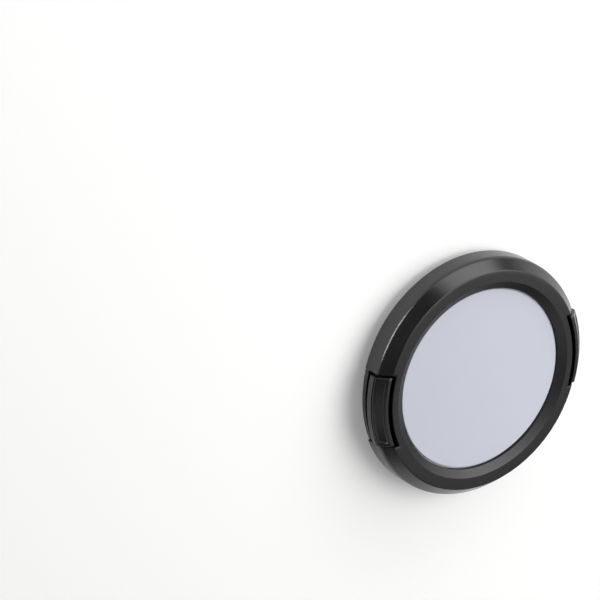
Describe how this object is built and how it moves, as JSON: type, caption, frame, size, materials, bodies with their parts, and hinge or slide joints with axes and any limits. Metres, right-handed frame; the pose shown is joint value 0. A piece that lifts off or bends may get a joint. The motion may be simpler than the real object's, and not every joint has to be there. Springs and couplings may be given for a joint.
{
  "type": "white balance lens cap",
  "caption": "Round clip-on lens cap with a white translucent disc in a black bevelled ring, and a sprung pinch button with a threaded claw on each side.",
  "frame": {"origin": "centre of the pilot ring at its rear edge, on the surface that the cap lies on", "axes": "+Z out of the front through the white disc, +X towards the right button, +Y up as the cap is worn"},
  "size_m": [0.0624, 0.0616, 0.0104],
  "materials": {
    "black_abs": "moulded black ABS with a fine satin texture",
    "white_opal": "matt white translucent acrylic",
    "spring_steel": "drawn wire"
  },
  "bodies": {
    "cap": {"bezel": "black_abs", "diffuser_disc": "white_opal", "rear_ring": "black_abs", "right_spring_upper": "spring_steel", "right_spring_lower": "spring_steel", "left_spring_upper": "spring_steel", "left_spring_lower": "spring_steel"},
    "right_pinch": {"right_button": "black_abs"},
    "left_pinch": {"left_button": "black_abs"}
  },
  "joints": [
    {"name": "right_press", "type": "slide", "parent": "cap", "child": "right_pinch", "axis": [-1, 0, 0], "range_m": [0, 0.00085], "stiffness_N_per_m": 1000, "springref_m": -0.002, "deforming": ["right_spring_upper", "right_spring_lower"]},
    {"name": "left_press", "type": "slide", "parent": "cap", "child": "left_pinch", "axis": [1, 0, 0], "range_m": [0, 0.00085], "stiffness_N_per_m": 1000, "springref_m": -0.002, "deforming": ["left_spring_upper", "left_spring_lower"]}
  ]
}
